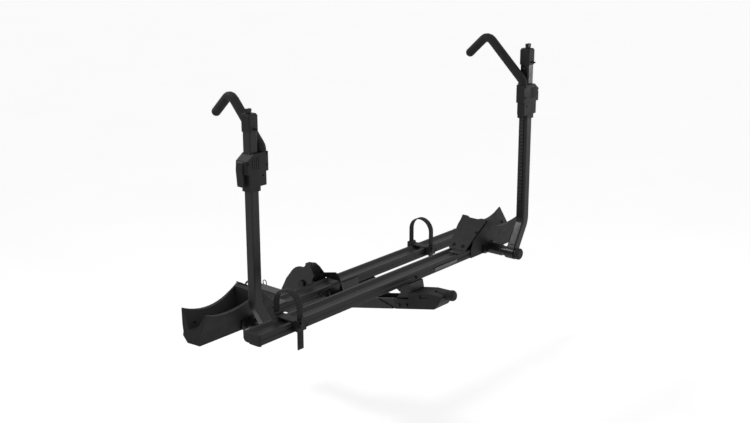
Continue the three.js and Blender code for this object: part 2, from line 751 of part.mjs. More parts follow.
// Square tube, bent near its foot, with a collar that turns on the barrel.
function arm() {
  const { x, z } = ARM_AXIS;
  const outer = ARM_TUBE / 2;
  const inner = outer - 2.5;
  const slant = new THREE.Vector2(ARM_X - x, ARM_BEND_Z - z).normalize();
  const from = (distance) => [x + slant.x * distance, ARM_Y, z + slant.y * distance];
  const bend = [ARM_X, ARM_Y, ARM_BEND_Z];
  const tube = sweep(
    roundedRectangle(-outer, outer, -outer, outer, 5, 3),
    roundedPath([from(4), bend, [ARM_X, ARM_Y, ARM_TOP]], 55, 5),
  );
  const bore = sweep(
    roundedRectangle(-inner, inner, -inner, inner, 2, 1),
    roundedPath([from(30), bend, [ARM_X, ARM_Y, ARM_TOP + 1]], 55, 5),
  );
  const collar = rod([x, ARM_Y - outer, z], [x, ARM_Y + outer, z], 21, 28);
  const bearing = rod([x, ARM_Y - 30, z], [x, ARM_Y + 30, z], BARREL_RADIUS + 0.35, 28);
  return cut(join(tube, collar), bore, bearing);
}

// Toothed strip along the arm's inward face that the slider's pawl climbs.
function ratchetStrip() {
  const face = ARM_X - ARM_TUBE / 2 - GAP;
  const pitch = 12;
  const low = 182;
  const high = 638;
  const teeth = [];
  for (let z = low; z < high; z += pitch) {
    teeth.push([face - 1.6, z], [face - 3, z + pitch * 0.75]);
  }
  return prism('y', [[face, low], [face, high], ...teeth.reverse()], ARM_Y - 5, ARM_Y + 5);
}

function armCap() {
  const half = ARM_TUBE / 2 + GAP + 1.4;
  const base = 647;
  const body = prism('z', roundedRectangle(-half, half, -half, half, 4), base, ARM_END_TOP - 4);
  const crownHalf = half - 2;
  const crownOutline = roundedRectangle(-crownHalf, crownHalf, -crownHalf, crownHalf, 4);
  const crown = prism('z', crownOutline, ARM_END_TOP - 5, ARM_END_TOP);
  const socketHalf = ARM_TUBE / 2 + GAP;
  const socketOutline = roundedRectangle(-socketHalf, socketHalf, -socketHalf, socketHalf, 5);
  const socket = prism('z', socketOutline, base - 1, ARM_TOP + GAP);
  const keyBore = rod([4, 0, ARM_TOP - 1], [4, 0, ARM_END_TOP + 1], 5 + GAP, 20);
  return cut(join(body, crown), socket, keyBore).translate(ARM_X, ARM_Y, 0);
}

// Lock knob in the arm's cap: a stem, a collar and two grip ears.
function capKnob() {
  const top = ARM_END_TOP + GAP;
  const stem = rod([0, 0, ARM_TOP + 2], [0, 0, top + 1], 5, 20);
  const collar = rod([0, 0, top], [0, 0, top + 5], 8, 20);
  const grip = box(-8, 8, -6, 6, top + 4, top + 14);
  const notch = rod([0, -7, top + 16], [0, 7, top + 16], 4.5, 12);
  return cut(join(stem, collar, grip), notch).translate(ARM_X + 4, ARM_Y, 0);
}

// Moulded slider that carries the hook, clamps on the tube and holds the pawl and its trigger.
function slider() {
  const upper = [[40, 20], [-20, 21], [-20, 10], [-48, 7], [-48, -23.5], [-19, -25], [36, -25], [41, -10]];
  const lower = [[29, 20], [-20, 20], [-20, 9], [-41, 6], [-41, -21.5], [-18, -22], [28, -22], [30, 2]];
  const taper = [[19, 19], [-19, 19], [-19, -19], [19, -19]];
  const body = join(
    prism('z', upper.reverse(), SLIDER_STEP, SLIDER_TOP),
    prism('z', lower.reverse(), SLIDER_BASE, SLIDER_STEP + 1),
    prism('z', taper.reverse(), SLIDER_BASE - 15, SLIDER_BASE + 1),
  );
  const slope = [[12, SLIDER_TOP + 5], [12, SLIDER_TOP], [60, SLIDER_TOP - 34], [60, SLIDER_TOP + 5]];
  const slopedTop = prism('y', slope, -60, 60);
  const half = ARM_TUBE / 2 + GAP;
  const channel = join(
    prism('z', roundedRectangle(-half, half, -half, half, 4), SLIDER_BASE - 30, SLIDER_TOP + 5),
    box(-half - 4.8, -10, -5.8, 5.8, SLIDER_BASE - 30, SLIDER_TOP + 5),
  );
  const pawlPocket = box(-34, -15, -6.4, 4.4, SLIDER_BASE - 1, SLIDER_BASE + 40);
  const [hookX, hookY, hookZ] = HOOK_FOOT;
  const hookSocket = rod([hookX, hookY, hookZ - GAP], [hookX, hookY, hookZ + 60], 8 + GAP, 16);
  const pawlHole = rod([-28, -40, SLIDER_BASE + 30], [-28, 40, SLIDER_BASE + 30], 2.5 + GAP, 12);
  const triggerHole = rod([34, -40, TRIGGER_Z], [34, 40, TRIGGER_Z], 2.5 + GAP, 12);
  const triggerPocket = box(29.5, 60, -11, 17, SLIDER_STEP - 10, TRIGGER_Z + 8);
  const tools = [slopedTop, channel, pawlPocket, hookSocket, pawlHole, triggerHole, triggerPocket];
  return cut(body, ...tools).translate(ARM_X, ARM_Y, 0);
}

// Squeeze lever on the slider's outward face.
function trigger() {
  const profile = [
    [31, TRIGGER_Z + 4],
    [36, TRIGGER_Z + 7],
    [43, TRIGGER_Z + 2],
    [45, TRIGGER_Z - 20],
    [41, SLIDER_BASE + 4],
    [37, SLIDER_BASE + 2],
    [38, TRIGGER_Z - 20],
    [34, TRIGGER_Z - 9],
  ];
  const body = prism('y', profile.reverse(), -10.4, 16.4);
  return cut(body, rod([34, -40, TRIGGER_Z], [34, 40, TRIGGER_Z], 2.5 + GAP, 12)).translate(ARM_X, ARM_Y, 0);
}

function sliderPin(out, height, y0, y1) {
  return rod([ARM_X + out, ARM_Y + y0, height], [ARM_X + out, ARM_Y + y1, height], 2.5, 12);
}

// Pawl that rides just clear of the toothed strip.
function sliderPawl() {
  const z = SLIDER_BASE + 30;
  const profile = [
    [-32, z + 4],
    [-25, z + 4],
    [-23.5, z - 4],
    [-20.2, z - 22],
    [-23.5, z - 27],
    [-29, z - 18],
    [-32, z - 4],
  ];
  const body = prism('y', profile.reverse(), -5.9, 3.9);
  return cut(body, rod([-28, -40, z], [-28, 40, z], 2.5 + GAP, 12)).translate(ARM_X, ARM_Y, 0);
}

// Corners of the hook's centre line, from a start height to the tip pulled back by a distance.
function hookPath(startZ, pullBack) {
  const at = ([out, y, z]) => new THREE.Vector3(ARM_X + out, ARM_Y + y, z);
  const bend = at(HOOK_BEND);
  const tip = at(HOOK_TIP);
  tip.addScaledVector(bend.clone().sub(tip).normalize(), pullBack);
  const foot = at([HOOK_FOOT[0], HOOK_FOOT[1], startZ]);
  const lead = at([HOOK_FOOT[0], HOOK_FOOT[1], HOOK_LEAD_Z]);
  return [foot, lead, bend, tip].map((p) => [p.x, p.y, p.z]);
}

// Steel core of the hook, from the socket in the slider to just short of the tip.
function hookRod() {
  return sweep(arc(0, 0, 8, 0, 324, 9), roundedPath(hookPath(HOOK_FOOT[2], 20), 24, 4));
}

// Rubber sleeve over the steel core, with a domed tip.
function hookSleeve() {
  const path = hookPath(SLIDER_TOP + GAP, HOOK_RADIUS);
  const skin = sweep(arc(0, 0, HOOK_RADIUS, 0, 334.3, 13), roundedPath(path, 24, 4));
  const end = path[path.length - 1];
  const tip = new THREE.SphereGeometry(HOOK_RADIUS, 14, 8).translate(end[0], end[1], end[2]);
  const core = sweep(arc(0, 0, 8 + GAP, 0, 324, 9), roundedPath(hookPath(HOOK_FOOT[2], 20 - GAP), 24, 4));
  return cut(join(skin, tip), core);
}

// Saddle that slides along the tray, with a strap anchor on one side and a buckle frame on the other.
function strapCarriage(strapX) {
  const x0 = strapX - 16;
  const x1 = strapX + 16;
  const inside = TRAY_HALF + GAP;
  const outer = inside + 4;
  const top = TRAY_HEIGHT + GAP;
  const bridge = prism('x', [
    [-outer, 8],
    [-inside, 8],
    [-inside, top],
    [inside, top],
    [inside, 8],
    [outer, 8],
    [outer, top + 3],
    [-outer, top + 3],
  ], x0, x1);
  const anchorOutline = roundedRectangle(outer - 1, STRAP_REACH + 8, 14, 42, 4);
  const anchor = prism('x', anchorOutline, strapX - 15, strapX + 15);
  const buckleOutline = roundedRectangle(-STRAP_REACH - 9, -outer + 1, 6, 39, 4);
  const buckle = prism('x', buckleOutline, strapX - 16, strapX + 16);
  const ears = [-1, 1].map((side) => {
    const [rear, front] = [LEVER_AXIS.y - 5, -STRAP_REACH - 7];
    const outline = roundedRectangle(rear, front, LEVER_AXIS.z - 7, LEVER_AXIS.z + 6, 4, 2);
    const [a, b] = [strapX + side * 11, strapX + side * 15];
    return prism('x', outline, Math.min(a, b), Math.max(a, b));
  });
  const strapHalf = STRAP_WIDTH / 2 + 1;
  const slots = [-1, 1].map((side) => {
    const [a, b] = [side * (STRAP_REACH - 3), side * (STRAP_REACH + 3)];
    const foot = side < 0 ? -10 : 22;
    return box(strapX - strapHalf, strapX + strapHalf, Math.min(a, b), Math.max(a, b), foot, 60);
  });
  const { y, z } = LEVER_AXIS;
  const leverPin = rod([strapX - 40, y, z], [strapX + 40, y, z], 2 + GAP, 12);
  return cut(join(bridge, anchor, buckle, ...ears), ...slots, leverPin);
}

// Rubber strap: anchored on one side, over the wheel, through the buckle and down into a free tail.
function strap(strapX, strapTop) {
  const thick = STRAP_HALF_THICKNESS;
  const centre = strapTop - STRAP_REACH;
  const over = (radius) => arc(0, centre, radius, 0, 180, 14);
  const outline = [
    [STRAP_REACH - thick, 24],
    [STRAP_REACH + thick, 24],
    ...over(STRAP_REACH + thick),
    [-STRAP_REACH - thick, STRAP_TAIL],
    [-STRAP_REACH + thick, STRAP_TAIL],
    ...over(STRAP_REACH - thick).reverse(),
  ];
  return prism('x', outline, strapX - STRAP_WIDTH / 2, strapX + STRAP_WIDTH / 2);
}

// Ratchet lever of the buckle, lying flat against the frame, with its hinge pin.
function buckleLever(strapX) {
  const { y, z } = LEVER_AXIS;
  const profile = [
    [y + 3, z - 1.5],
    [y + 1.5, z - 3],
    [y - 1.5, z - 3],
    [y - 3.5, z - 1],
    [y - 4, z + 4],
    [y - 2, z + 15],
    [y - 5, z + 22],
    [y - 1.5, z + 23],
    [y + 2, z + 16],
    [y + 3, z + 6],
  ];
  const plate = prism('x', profile, strapX - 10.4, strapX + 10.4);
  return join(plate, rod([strapX - 16, y, z], [strapX + 16, y, z], 2, 12));
}

function trayAssembly(prefix, { y, z, side, strapEnd, strapX, strapTop, lean }) {
  const group = new THREE.Group();
  group.position.set(0, y, z);
  rack.add(group);
  const armGroup = new THREE.Group();
  armGroup.position.set(side * ARM_AXIS.x, 0, ARM_AXIS.z);
  armGroup.rotation.y = -side * lean;
  group.add(armGroup);
  const fit = (name, geometry, material) => {
    place(group, `${prefix}_${name}`, side > 0 ? geometry : mirrored(geometry), material);
  };
  const fitToArm = (name, geometry, material) => {
    const local = geometry.translate(-ARM_AXIS.x, 0, -ARM_AXIS.z);
    place(armGroup, `${prefix}_${name}`, side > 0 ? local : mirrored(local), material);
  };
  fit('tray', tray(strapEnd), TRAY_PAINT);
  fit('tray_cap', trayCap(strapEnd), MOULDED);
  fit('cradle', cradle(), MOULDED);
  fit('ramp', ramp(), FRAME_PAINT);
  fit('arm_barrel', barrel(), FRAME_PAINT);
  fit('barrel_cap', barrelCap(), RUBBER);
  fitToArm('arm', arm(), FRAME_PAINT);
  fitToArm('ratchet_strip', ratchetStrip(), STEEL);
  fitToArm('arm_cap', armCap(), MOULDED);
  fitToArm('cap_knob', capKnob(), STEEL);
  fitToArm('slider', slider(), MOULDED);
  fitToArm('slider_pawl', sliderPawl(), STEEL);
  fitToArm('trigger', trigger(), MOULDED);
  fitToArm('trigger_pin', sliderPin(34, TRIGGER_Z, -18, 17), STEEL);
  fitToArm('hook_rod', hookRod(), STEEL);
  fitToArm('hook_sleeve', hookSleeve(), RUBBER);
  fit('strap_carriage', strapCarriage(strapX), MOULDED);
  fit('strap', strap(strapX, strapTop), RUBBER);
  fit('buckle_lever', buckleLever(strapX), MOULDED);
}

trayAssembly('inner', INNER_TRAY);
trayAssembly('outer', OUTER_TRAY);

export default rack;
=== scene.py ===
import json
import math

import bmesh
import bpy
from mathutils import Matrix, Vector


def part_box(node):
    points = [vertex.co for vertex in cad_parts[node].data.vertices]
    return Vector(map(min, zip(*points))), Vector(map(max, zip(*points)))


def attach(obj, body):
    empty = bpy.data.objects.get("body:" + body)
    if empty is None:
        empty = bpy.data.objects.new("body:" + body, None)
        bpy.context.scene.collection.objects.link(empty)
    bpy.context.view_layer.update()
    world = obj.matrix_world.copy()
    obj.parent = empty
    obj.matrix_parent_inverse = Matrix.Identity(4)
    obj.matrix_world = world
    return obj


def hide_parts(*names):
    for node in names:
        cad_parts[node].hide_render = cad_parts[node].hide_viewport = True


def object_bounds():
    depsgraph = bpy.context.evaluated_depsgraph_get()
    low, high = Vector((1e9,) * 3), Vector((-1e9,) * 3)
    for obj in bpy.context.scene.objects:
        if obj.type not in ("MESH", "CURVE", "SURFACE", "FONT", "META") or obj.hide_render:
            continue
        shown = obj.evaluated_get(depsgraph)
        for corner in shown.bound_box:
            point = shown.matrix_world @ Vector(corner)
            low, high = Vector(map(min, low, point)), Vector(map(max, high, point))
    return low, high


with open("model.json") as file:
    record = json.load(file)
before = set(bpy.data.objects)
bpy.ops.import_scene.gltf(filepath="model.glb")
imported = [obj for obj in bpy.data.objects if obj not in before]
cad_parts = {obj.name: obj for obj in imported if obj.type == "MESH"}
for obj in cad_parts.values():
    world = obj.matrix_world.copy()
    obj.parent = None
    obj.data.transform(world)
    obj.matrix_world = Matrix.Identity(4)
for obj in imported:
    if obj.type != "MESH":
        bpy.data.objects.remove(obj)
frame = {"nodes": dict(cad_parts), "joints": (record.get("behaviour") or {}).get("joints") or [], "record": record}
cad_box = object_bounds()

# Hitch mounted bike rack: looks, small fittings, light and camera.
# Units are metres in the rack's own frame: +X along the trays, +Y to the vehicle, +Z up.

MM = 0.001
JOINTS = {joint["name"]: joint for joint in frame["joints"]}
SIDES = {"inner": -1, "outer": 1}      # which way each tray's cradle end points along X


# ---------------------------------------------------------------- node graphs

class Graph:
    """A short way to write one material's node tree."""

    def __init__(self, name):
        self.material = bpy.data.materials.new(name)
        self.material.use_nodes = True
        self.tree = self.material.node_tree
        self.tree.nodes.clear()
        self.place = self.node("TexCoord").outputs["Object"]

    def node(self, kind, inputs=None, **settings):
        node = self.tree.nodes.new("ShaderNode" + kind)
        for key, value in settings.items():
            setattr(node, key, value)
        for key, value in (inputs or {}).items():
            socket = node.inputs[key]
            if isinstance(value, bpy.types.NodeSocket):
                self.tree.links.new(value, socket)
            else:
                socket.default_value = value
        return node

    def stretched(self, x, y, z):
        return self.node("VectorMath", {0: self.place, 1: (x, y, z)}, operation="MULTIPLY").outputs[0]

    def noise(self, scale, detail=2.0, rough=0.5, vector=None):
        """Noise from 0 to 1. The scale is in waves per metre."""
        inputs = {"Vector": vector or self.place, "Scale": scale, "Detail": detail, "Roughness": rough}
        return self.node("TexNoise", inputs).outputs[0]

    def cells(self, scale):
        inputs = {"Vector": self.place, "Scale": scale, "Smoothness": 0.6}
        return self.node("TexVoronoi", inputs, feature="SMOOTH_F1").outputs["Distance"]

    def span(self, value, low, high, to_low=0.0, to_high=1.0):
        inputs = {"Value": value, "From Min": low, "From Max": high, "To Min": to_low, "To Max": to_high}
        return self.node("MapRange", inputs).outputs[0]

    def math(self, operation, a, b=0.0):
        return self.node("Math", {0: a, 1: b}, operation=operation).outputs[0]

    def mix(self, factor, a, b):
        return self.node("Mix", {0: factor, 6: a, 7: b}, data_type="RGBA").outputs[2]

    def edges(self, radius):
        """1 along rounded corners and 0 on flats."""
        soft = self.node("Bevel", {"Radius": radius}, samples=4).outputs[0]
        flat = self.node("NewGeometry").outputs["True Normal"]
        turn = self.node("VectorMath", {0: soft, 1: flat}, operation="DOT_PRODUCT").outputs["Value"]
        return self.span(turn, 0.995, 0.85)

    def upward(self):
        split = self.node("SeparateXYZ", {0: self.node("NewGeometry").outputs["Normal"]})
        return self.span(split.outputs[2], 0.3, 1.0)

    def bump(self, height, strength, distance, under=None):
        inputs = {"Height": height, "Strength": strength, "Distance": distance}
        if under:
            inputs["Normal"] = under
        return self.node("Bump", inputs).outputs[0]

    def finish(self, colour, roughness, normal, **more):
        inputs = {"Base Color": colour, "Roughness": roughness, "Normal": normal}
        inputs.update({key.replace("_", " "): value for key, value in more.items()})
        shader = self.node("BsdfPrincipled", inputs).outputs[0]
        self.node("OutputMaterial", {"Surface": shader})
        return self.material


def grey(level, warmth=0.0):
    return (level * (1 + warmth), level, level * (1 - warmth), 1.0)


WEAR_RADIUS = 1.1 * MM          # how far rubbing reaches from an edge


def worn_colour(graph, base, wear, dust=0.012):
    """A dark coat with cloudy variation, paler rubbed edges and a trace of dust on upward faces."""
    clouds = graph.span(graph.noise(14, 4, 0.6), 0.3, 0.7)
    coat = graph.mix(clouds, grey(base * 0.85), grey(base * 1.2))
    patchy = graph.span(graph.noise(160, 3, 0.65), 0.42, 0.66)
    rubbed = graph.math("MULTIPLY", graph.edges(WEAR_RADIUS), patchy)
    edged = graph.mix(rubbed, coat, grey(wear))
    specks = graph.span(graph.noise(60, 5, 0.7), 0.45, 0.8, 0.0, 0.5)
    return graph.mix(graph.math("MULTIPLY", graph.upward(), specks), edged, grey(base + dust, 0.04))


def powder_coat():
    """Satin black powder coat: orange peel, fine pimples, edges rubbed paler."""
    g = Graph("powder_coat")
    colour = worn_colour(g, 0.0095, 0.05)
    rough = g.span(g.noise(45, 3, 0.6), 0.3, 0.7, 0.26, 0.40)
    peel = g.bump(g.noise(420, 1, 0.4), 0.16, 0.25 * MM)
    normal = g.bump(g.noise(1500, 2, 0.6), 0.18, 0.12 * MM, peel)
    return g.finish(colour, rough, normal, Coat_Weight=0.15, Coat_Roughness=0.22)


def drawn_metal():
    """Black coating over an extruded channel, with faint lines drawn along its length."""
    g = Graph("drawn_metal")
    colour = worn_colour(g, 0.0145, 0.07)
    lines = g.noise(1.0, 3, 0.7, g.stretched(2, 950, 950))
    rough = g.span(lines, 0.3, 0.7, 0.36, 0.50)
    fine = g.bump(g.noise(1300, 2, 0.6), 0.12, 0.1 * MM)
    normal = g.bump(lines, 0.12, 0.12 * MM, fine)
    return g.finish(colour, rough, normal, Metallic=0.12)


def moulding():
    """Black moulded plastic with a fine pebble grain and slightly polished high spots."""
    g = Graph("moulding")
    colour = worn_colour(g, 0.0070, 0.03, dust=0.010)
    grain = g.math("ADD", g.cells(620), g.math("MULTIPLY", g.noise(1400, 2, 0.6), 0.5))
    rough = g.span(g.noise(30, 3, 0.6), 0.3, 0.7, 0.47, 0.62)
    flow = g.bump(g.noise(22, 2, 0.5), 0.08, 1.2 * MM)
    normal = g.bump(grain, 0.22, 0.22 * MM, flow)
    return g.finish(colour, rough, normal)


def rubber():
    """Matt black rubber with a soft bloom and a faint mould texture."""
    g = Graph("rubber")
    bloom = g.span(g.noise(35, 4, 0.65), 0.35, 0.75)
    colour = g.mix(bloom, grey(0.0085), grey(0.0150, 0.02))
    rough = g.span(g.noise(80, 3, 0.6), 0.3, 0.7, 0.62, 0.80)
    soft = g.bump(g.noise(240, 2, 0.5), 0.15, 0.3 * MM)
    normal = g.bump(g.noise(2200, 2, 0.6), 0.25, 0.08 * MM, soft)
    return g.finish(colour, rough, normal, Sheen_Weight=0.06, Sheen_Roughness=0.5)


def dark_steel():
    """Blackened steel: brushed, with brighter worn corners."""
    g = Graph("dark_steel")
    clouds = g.span(g.noise(70, 4, 0.6), 0.3, 0.7)
    coat = g.mix(clouds, grey(0.028), grey(0.05, 0.03))
    colour = g.mix(g.edges(0.7 * MM), coat, grey(0.12))
    brushed = g.noise(1.0, 3, 0.7, g.stretched(700, 700, 60))
    rough = g.span(brushed, 0.3, 0.7, 0.30, 0.46)
    normal = g.bump(brushed, 0.14, 0.08 * MM, g.bump(g.noise(500, 2, 0.5), 0.1, 0.15 * MM))
    return g.finish(colour, rough, normal, Metallic=0.75)


def bolt_black_and_painted_shade():
    """Black oxide on fasteners, drier than the paint, with a hint of oil. The near-black colour, darker than the
    paint, is partly the oxide and partly painted shade for dark recessed bolt holes.
    """
    g = Graph("bolt_black_and_painted_shade")
    oil = g.span(g.noise(220, 3, 0.6), 0.35, 0.7)
    # Near-black colour: partly black oxide, partly painted shade for the dark recessed bolt holes; edges paler
    # from wear.
    colour = g.mix(g.edges(0.5 * MM), g.mix(oil, grey(0.003), grey(0.006)), grey(0.02))
    rough = g.span(oil, 0.0, 1.0, 0.55, 0.38)
    normal = g.bump(g.noise(1600, 2, 0.6), 0.15, 0.06 * MM)
    return g.finish(colour, rough, normal, Specular_IOR_Level=0.3)


def plain_label():
    """A plain printed plate with no lettering: slightly paler satin film with a scuffed surface."""
    g = Graph("plain_label")
    scuffs = g.span(g.noise(90, 5, 0.7), 0.4, 0.75)
    colour = g.mix(scuffs, grey(0.15, 0.02), grey(0.21, 0.02))
    rough = g.span(g.noise(60, 3, 0.6), 0.3, 0.7, 0.35, 0.5)
    return g.finish(colour, rough, g.bump(g.noise(900, 2, 0.5), 0.1, 0.08 * MM))


FINISHES = {
    "frame_paint": powder_coat(),
    "tray_paint": drawn_metal(),
    "moulding": moulding(),
    "rubber": rubber(),
    "dark_steel": dark_steel(),
    "bolt_black_and_painted_shade": bolt_black_and_painted_shade(),
    "label": plain_label(),
}


# ---------------------------------------------------------------- finish of the CAD pieces

EDGE_RADII = {"frame_paint": 0.9, "tray_paint": 0.8, "moulding": 1.3, "rubber": 1.0, "dark_steel": 0.5}
SHARP_ANGLE = math.radians(34)


def soften(obj, radius):
    """Joins coplanar faces, rounds the sharp edges and shades the rest smooth."""
    weld = obj.modifiers.new("weld", "WELD")
    weld.merge_threshold = 1e-6
    flatten = obj.modifiers.new("flatten", "DECIMATE")
    flatten.decimate_type = "DISSOLVE"
    flatten.angle_limit = math.radians(0.6)
    bevel = obj.modifiers.new("round_edges", "BEVEL")
    bevel.width = radius * MM
    bevel.segments = 2
    bevel.limit_method = "ANGLE"
    bevel.angle_limit = SHARP_ANGLE
    bevel.miter_outer = "MITER_ARC"
    shade = obj.modifiers.new("shade", "WEIGHTED_NORMAL")
    shade.weight = 80
    obj.data.polygons.foreach_set("use_smooth", [True] * len(obj.data.polygons))


def finish_cad_nodes():
    slots = {part["node"]: part["material_slot"] for part in frame["record"]["subparts"]}
    for name, obj in frame["nodes"].items():
        obj.data.materials.clear()
        obj.data.materials.append(FINISHES[slots[name]])
        soften(obj, EDGE_RADII[slots[name]])


# ---------------------------------------------------------------- small mesh kit

def place_piece(name, mesh, body, finish, matrix=None):
    """A finished object from a bmesh that rides on a CAD body."""
    bmesh.ops.recalc_face_normals(mesh, faces=mesh.faces)
    data = bpy.data.meshes.new(name)
    mesh.to_mesh(data)
    mesh.free()
    data.polygons.foreach_set("use_smooth", [True] * len(data.polygons))
    data.materials.append(FINISHES[finish])
    obj = bpy.data.objects.new(name, data)
    bpy.context.scene.collection.objects.link(obj)
    if matrix:
        data.transform(matrix)
        if matrix.determinant() < 0:
            data.flip_normals()
    shade = obj.modifiers.new("shade", "WEIGHTED_NORMAL")
    shade.weight = 80
    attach(obj, body)
    return obj


def skin(mesh, rings):
    """Closed skin through rings that have the same number of points."""
    loops = [[mesh.verts.new(point) for point in ring] for ring in rings]
    for a, b in zip(loops, loops[1:]):
        for i in range(len(a)):
            j = (i + 1) % len(a)
            mesh.faces.new((a[i], a[j], b[j], b[i]))
    mesh.faces.new(list(reversed(loops[0])))
    mesh.faces.new(loops[-1])


def circle(radius, height, sides):
    angles = [2 * math.pi * i / sides for i in range(sides)]
    return [Vector((radius * math.cos(a), radius * math.sin(a), height)) for a in angles]


def facing(position, normal):
    """Matrix that puts a fitting's base at a position with its +Z along a normal."""
    turn = Vector(normal).to_track_quat("Z", "Y").to_matrix().to_4x4()
    return Matrix.Translation(position) @ turn


def button_bolt(radius, height):
    """Domed head on a washer, with a round socket."""
    mesh = bmesh.new()
    outer = [(1.35, 0.0), (1.35, 0.16), (1.28, 0.22), (1.0, 0.22), (1.0, 0.4)]
    dome = [(math.cos(a), 0.4 + 0.6 * math.sin(a)) for a in (0.35, 0.7, 1.0)]
    rings = [circle(radius * r, height * h, 24) for r, h in outer + dome]
    socket = radius * 0.42
    rings += [circle(socket * 1.08, height * 0.96, 24), circle(socket, height * 0.9, 24)]
    rings += [circle(socket * 0.96, height * 0.45, 24)]
    skin(mesh, rings)
    return mesh


def hex_bolt(radius, height):
    """Hexagon head with a chamfered crown on a round washer."""
    mesh = bmesh.new()
    skin(mesh, [circle(radius * 1.3, 0, 24), circle(radius * 1.3, height * 0.2, 24)])
    heads = [(1.0, 0.18), (1.0, 0.88), (0.9, 1.0), (0.55, 1.0), (0.5, 0.93)]
    skin(mesh, [circle(radius * r, height * h, 6) for r, h in heads])
    return mesh


def plate(width, depth, thickness, corner, steps=4):
    """Flat plate with round corners, standing on Z = 0."""
    mesh = bmesh.new()
    outline = []
    corners = [(1, 1, 0), (-1, 1, 90), (-1, -1, 180), (1, -1, 270)]
    for sx, sy, start in corners:
        for k in range(steps + 1):
            a = math.radians(start + 90 * k / steps)
            x = sx * (width / 2 - corner) + corner * math.cos(a)
            y = sy * (depth / 2 - corner) + corner * math.sin(a)
            outline.append((x, y))
    inset = min(corner, thickness) * 0.3
    top = [(x * (1 - 2 * inset / width), y * (1 - 2 * inset / depth)) for x, y in outline]
    levels = [(outline, 0.0), (outline, thickness - inset), (top, thickness)]
    skin(mesh, [[Vector((x, y, z)) for x, y in ring] for ring, z in levels])
    return mesh


def tube_along(points, radius, sides=10):
    """Round wire along a smooth list of points, with rounded ends."""
    mesh = bmesh.new()
    rings = []
    up = Vector((0.31, 0.17, 0.93)).normalized()
    for i, point in enumerate(points):
        ahead = points[min(i + 1, len(points) - 1)] - points[max(i - 1, 0)]
        ahead.normalize()
        across = ahead.cross(up).normalized()
        above = across.cross(ahead)
        size = radius * (0.55 if i in (0, len(points) - 1) else 1.0)
        ring = []
        for k in range(sides):
            a = 2 * math.pi * k / sides
            ring.append(point + (across * math.cos(a) + above * math.sin(a)) * size)
        rings.append(ring)
    skin(mesh, rings)
    return mesh


# ---------------------------------------------------------------- straps

STRAP_THICK = 1.9 * MM          # half the strap's thickness
STRAP_FOOT = 24 * MM            # anchored end, above the tray's underside
TOOTH_PITCH = 5.5 * MM
TOOTH_HEIGHT = 1.1 * MM
TOOTH_OUTLINE = ((0.0, 0.0), (0.5 * MM, TOOTH_HEIGHT), (1.9 * MM, TOOTH_HEIGHT), (4.6 * MM, 0.0))
PLAIN_STEP = 5 * MM             # between sections where the strap has no teeth


def strap_section(half_width, tooth):
    """Strap cross-section as (across, outward) pairs; the middle band rises to form a tooth."""
    edge = 0.6 * MM
    band = half_width * 0.62
    t = STRAP_THICK
    return [
        (-half_width, -t + edge), (-half_width, t - edge), (-half_width + edge, t),
        (-band - 0.3 * MM, t), (-band, t + tooth), (band, t + tooth), (band + 0.3 * MM, t),
        (half_width - edge, t), (half_width, t - edge), (half_width, -t + edge),
        (half_width - edge, -t), (-half_width + edge, -t),
    ]


def strap_stations(reach, centre, foot, tail):
    """(y, z, outward y, outward z, tooth) from the anchor, over the wheel and down to the tail."""
    arc = math.pi * reach
    rise, drop = centre - foot, centre - tail
    total = rise + arc + drop
    toothed_from = rise + arc * 0.45
    teeth_end = total - 4 * MM
    lengths = {0.0: 0.0, total: 0.0}
    step = 0.0
    while step < toothed_from:
        lengths[step] = 0.0
        step += PLAIN_STEP
    step = toothed_from
    while step + TOOTH_PITCH < teeth_end:
        for along, height in TOOTH_OUTLINE:
            lengths[step + along] = height
        step += TOOTH_PITCH
    for at in sorted(lengths):
        tooth = lengths[at]
        if at <= rise:
            yield reach, foot + at, 1.0, 0.0, tooth
        elif at <= rise + arc:
            a = (at - rise) / reach
            yield reach * math.cos(a), centre + reach * math.sin(a), math.cos(a), math.sin(a), tooth
        else:
            yield -reach, centre - (at - rise - arc), -1.0, 0.0, tooth


def wheel_strap(side):
    low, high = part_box(f"{side}_strap")
    middle = (low + high) / 2
    reach = (high.y - low.y) / 2 - STRAP_THICK
    centre = high.z - STRAP_THICK - reach
    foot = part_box(f"{side}_tray")[0].z + STRAP_FOOT
    mesh = bmesh.new()
    rings = []
    for y, z, out_y, out_z, tooth in strap_stations(reach, centre, foot, low.z):
        ring = []
        for across, outward in strap_section((high.x - low.x) / 2, tooth):
            ring.append(Vector((middle.x + across, middle.y + y + out_y * outward, z + out_z * outward)))
        rings.append(ring)
    skin(mesh, rings)
    strap = place_piece(f"{side}_strap_skin", mesh, f"{side}_strap", "rubber")
    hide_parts(f"{side}_strap")


# ---------------------------------------------------------------- fittings

def tray_matrix(side):
    """Places a tray's own frame: X towards its cradle, Z above its underside."""
    low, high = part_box(f"{side}_tray")
    move = Matrix.Translation((0, (low.y + high.y) / 2, low.z))
    return move @ Matrix.Diagonal((SIDES[side], 1, 1, 1))


def fit_to_tray(side, name, mesh, place, normal, finish):
    """A fitting on the rack, placed by millimetres in a tray's own frame."""
    matrix = tray_matrix(side) @ facing(Vector(place) * MM, normal)
    return place_piece(f"{side}_{name}", mesh, "rack", finish, matrix)


# In a tray's own frame, in millimetres.
RAMP_LOW = Vector((265, 0, 35.3))           # where the ramp's top face leaves its foot
RAMP_NORMAL = Vector((-0.652, 0, 0.758))
FLANK_NORMAL = Vector((0, -0.879, 0.477))   # inner face of the cradle's far flank
RAMP_BOLTS = (                              # name, radius, height, x, y
    ("ramp_bolt_left", 5.6, 3.2, 276, 19),
    ("ramp_bolt_right", 5.6, 3.2, 276, -17),
    ("ramp_bolt_edge", 4.2, 3, 324, -38),
)
FLANK_BOLT = (572, 22, 55.8)                # on the far flank
CAP_TOP = 31.4                              # top face of the moulded end cap


